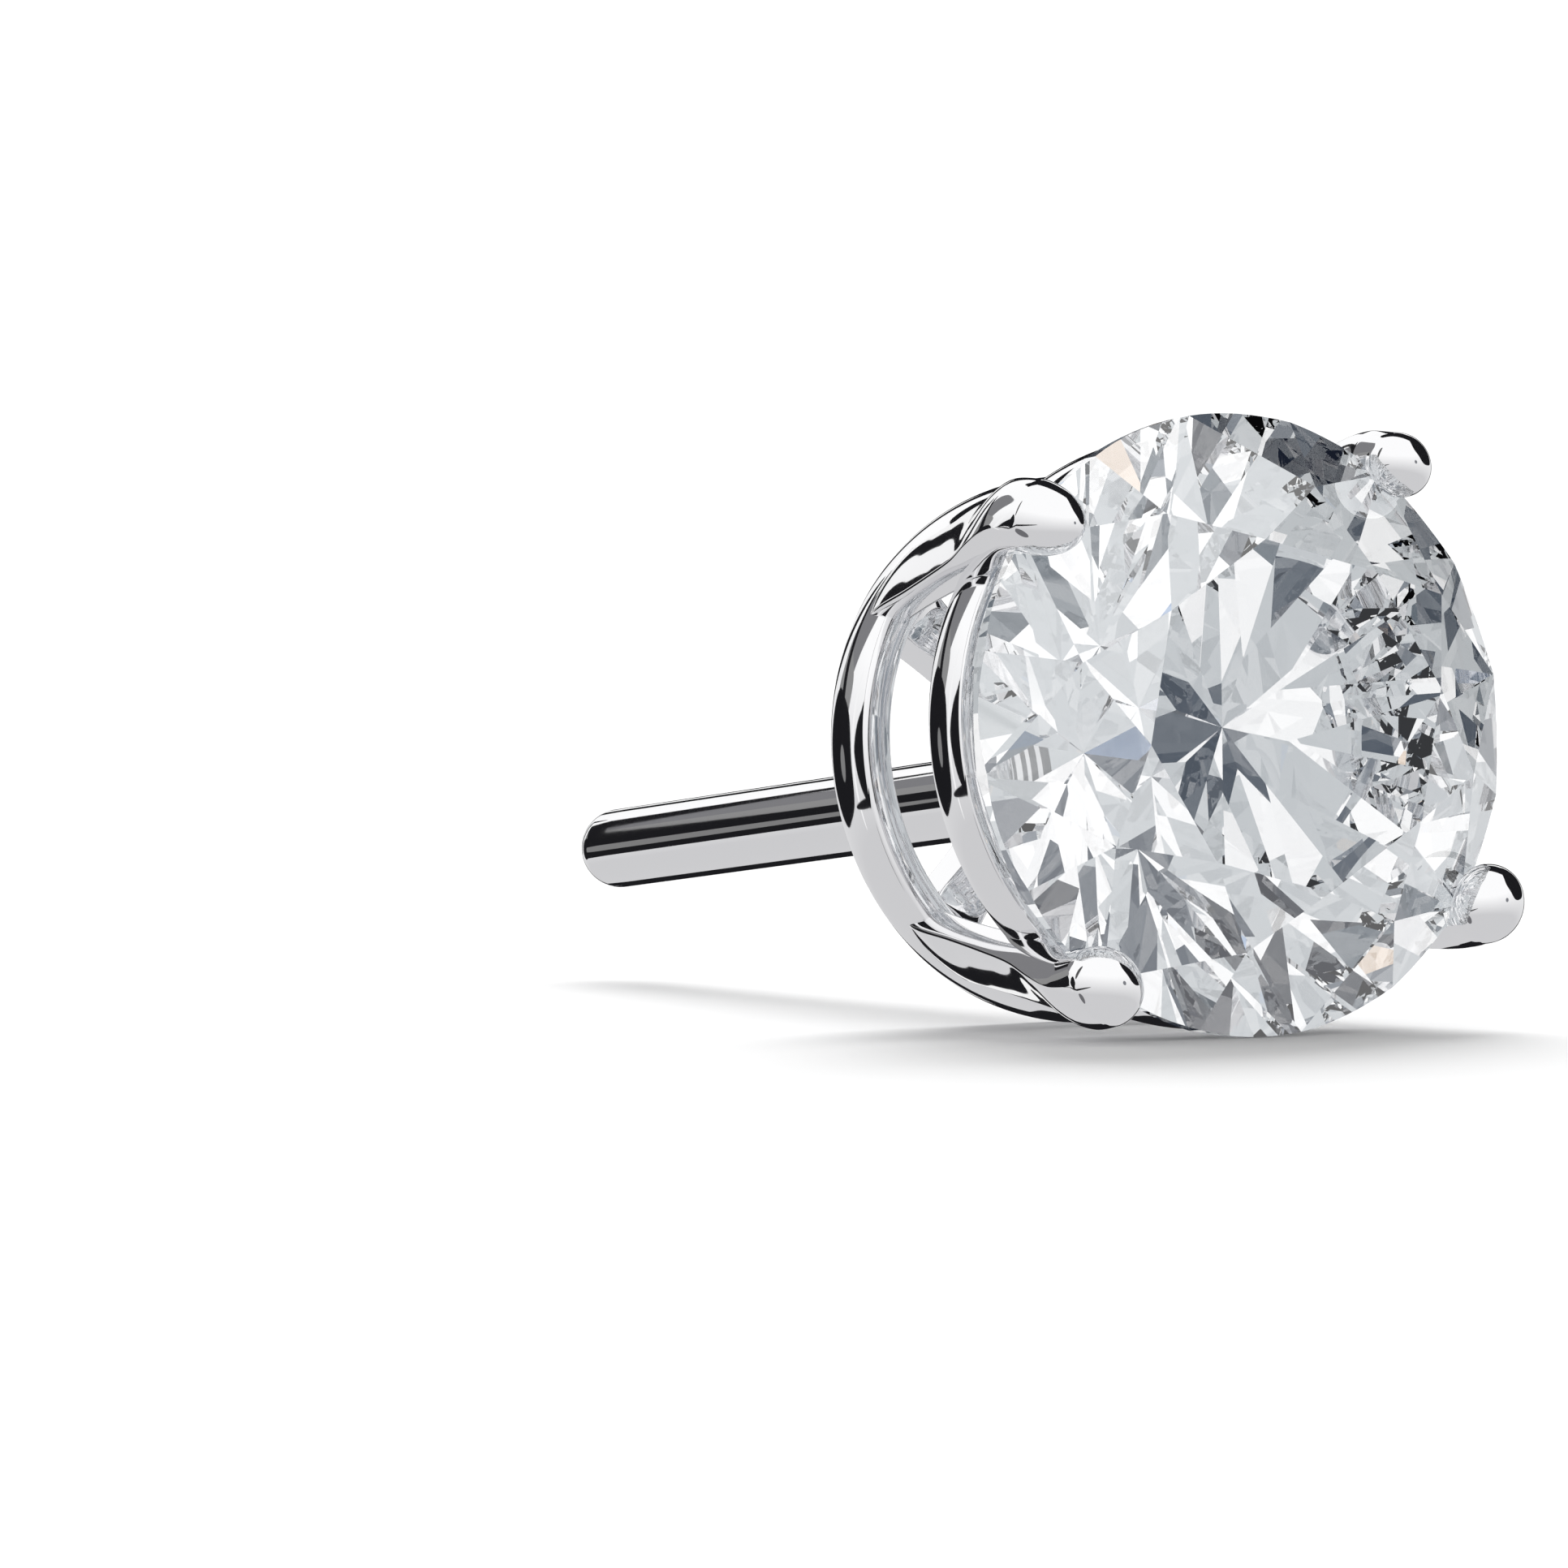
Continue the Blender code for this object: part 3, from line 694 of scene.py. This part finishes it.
def studio_card(order, name, azimuth, elevation, wide, high, lean, power, colour, seen_in):
    """A card round the earring, seen only in the metal or only through the stone.

    Azimuth 0 lies on -Y, where the table faces, and 90 on +X. Width and height are angles, and
    the card leans by turning them in its plane. Its outline is |x|^power + |y|^power = 1, whose
    points are (cos t)^(2 / power) and (sin t)^(2 / power) with the signs of both. It is domed on
    a sphere round the stone, and later cards lie on smaller spheres.
    """
    a, e, lean = math.radians(azimuth), math.radians(elevation), math.radians(lean)
    out = np.array([math.sin(a) * math.cos(e), -math.cos(a) * math.cos(e), math.sin(e)])
    side = np.array([math.cos(a), math.sin(a), 0.0])
    up = np.cross(side, -out)
    across = (side * math.cos(lean) + up * math.sin(lean)) * math.tan(math.radians(wide / 2))
    along = (up * math.cos(lean) - side * math.sin(lean)) * math.tan(math.radians(high / 2))
    turn = 2 * np.pi * (np.arange(CARD_CORNERS) + 0.5) / CARD_CORNERS
    x = np.sign(np.cos(turn)) * np.abs(np.cos(turn)) ** (2 / power)
    y = np.sign(np.sin(turn)) * np.abs(np.sin(turn)) ** (2 / power)
    outline = x[:, None] * across + y[:, None] * along
    grow = np.arange(1, CARD_RINGS + 1) / CARD_RINGS
    points = (out + grow[:, None, None] * outline[None, :, :]).reshape(-1, 3)
    points = np.concatenate([points, out[None, :]])
    points /= np.linalg.norm(points, axis=1, keepdims=True)
    points = np.array(GIRDLE_MIDDLE) + (CARD_REACH - CARD_SPACING * order) * points
    corner = np.arange(CARD_CORNERS)
    middle = np.full(CARD_CORNERS, CARD_RINGS * CARD_CORNERS)
    fan = np.stack([middle, corner, (corner + 1) % CARD_CORNERS], axis=1)
    faces = [grid_faces(CARD_RINGS, CARD_CORNERS, False), fan]
    material = bpy.data.materials.new(name)
    material.use_nodes = True
    tree = material.node_tree
    tree.nodes.clear()
    glow = node(tree, "ShaderNodeEmission", Strength=1.0)
    glow.inputs["Color"].default_value = (*colour, 1)
    output = tree.nodes.new("ShaderNodeOutputMaterial")
    tree.links.new(glow.outputs["Emission"], output.inputs["Surface"])
    item = add_mesh(name, points, faces, material)
    item.visible_camera = False
    item.visible_diffuse = False
    item.visible_shadow = False
    item.visible_glossy = seen_in == "metal"
    item.visible_transmission = seen_in == "stone"
    return item


def white_tent():
    """White to the camera, an even light on the floor, grey to white in the metal and an even
    grey to rays that leave the stone.
    """
    world = bpy.data.worlds.new("white_tent")
    bpy.context.scene.world = world
    world.use_nodes = True
    tree = world.node_tree
    background = tree.nodes["Background"]
    place = tree.nodes.new("ShaderNodeTexCoord")
    split = tree.nodes.new("ShaderNodeSeparateXYZ")
    height = node(tree, "ShaderNodeMapRange", From_Min=-1.0, From_Max=1.0)
    ramp = tree.nodes.new("ShaderNodeValToRGB")
    for stop, (position, colour) in zip(ramp.color_ramp.elements, METAL_SURROUND):
        stop.position = position
        stop.color = (*colour, 1)
    path = tree.nodes.new("ShaderNodeLightPath")
    blend = tree.nodes.new("ShaderNodeMixRGB")
    blend.inputs["Color2"].default_value = (*FLOOR_LIGHT, 1)
    seen = tree.nodes.new("ShaderNodeMixRGB")
    seen.inputs["Color2"].default_value = (*BACKDROP, 1)
    through = tree.nodes.new("ShaderNodeMixRGB")
    through.inputs["Color2"].default_value = (*STONE_SURROUND, 1)
    link = tree.links.new
    link(place.outputs["Generated"], split.inputs["Vector"])
    link(split.outputs["Z"], height.inputs["Value"])
    link(height.outputs["Result"], ramp.inputs["Fac"])
    link(path.outputs["Is Diffuse Ray"], blend.inputs["Fac"])
    link(path.outputs["Is Transmission Ray"], through.inputs["Fac"])
    link(ramp.outputs["Color"], through.inputs["Color1"])
    link(through.outputs["Color"], blend.inputs["Color1"])
    link(path.outputs["Is Camera Ray"], seen.inputs["Fac"])
    link(blend.outputs["Color"], seen.inputs["Color1"])
    link(seen.outputs["Color"], background.inputs["Color"])


def back_light():
    """A wide soft lamp behind and above, which lays the soft shadow towards the camera.

    A sun's strength is what falls on a square metre, so a white floor below it shines with
    strength times the sine of its height over pi.
    """
    lamp = bpy.data.lights.new("back_light", "SUN")
    lamp.angle = BACK_LIGHT_WIDTH
    lamp.energy = BACK_LIGHT_SHINE * math.pi / math.sin(BACK_LIGHT_HEIGHT)
    item = bpy.data.objects.new("back_light", lamp)
    bpy.context.scene.collection.objects.link(item)
    ahead = Vector((TO_CAMERA.x, TO_CAMERA.y, 0)).normalized()
    beam = ahead * math.cos(BACK_LIGHT_HEIGHT) - Vector((0, 0, math.sin(BACK_LIGHT_HEIGHT)))
    item.rotation_euler = beam.to_track_quat("-Z", "Y").to_euler()
    item.visible_glossy = False
    item.visible_transmission = False


def white_floor():
    """The floor, which reflections and rays that leave the stone don't see."""
    corners = np.array([(-1, -1, 0), (1, -1, 0), (1, 1, 0), (-1, 1, 0)]) * FLOOR_REACH
    floor = add_mesh("floor", corners, [np.array([[0, 1, 2, 3]])], white_table())
    floor.visible_glossy = False
    floor.visible_transmission = False


white_tent()
back_light()
white_floor()
for order, card in enumerate(STUDIO_CARDS):
    studio_card(order, *card)

scene = bpy.context.scene
scene.view_settings.view_transform = "Standard"
scene.cycles.max_bounces = 32
scene.cycles.glossy_bounces = 24
scene.cycles.transmission_bounces = 24
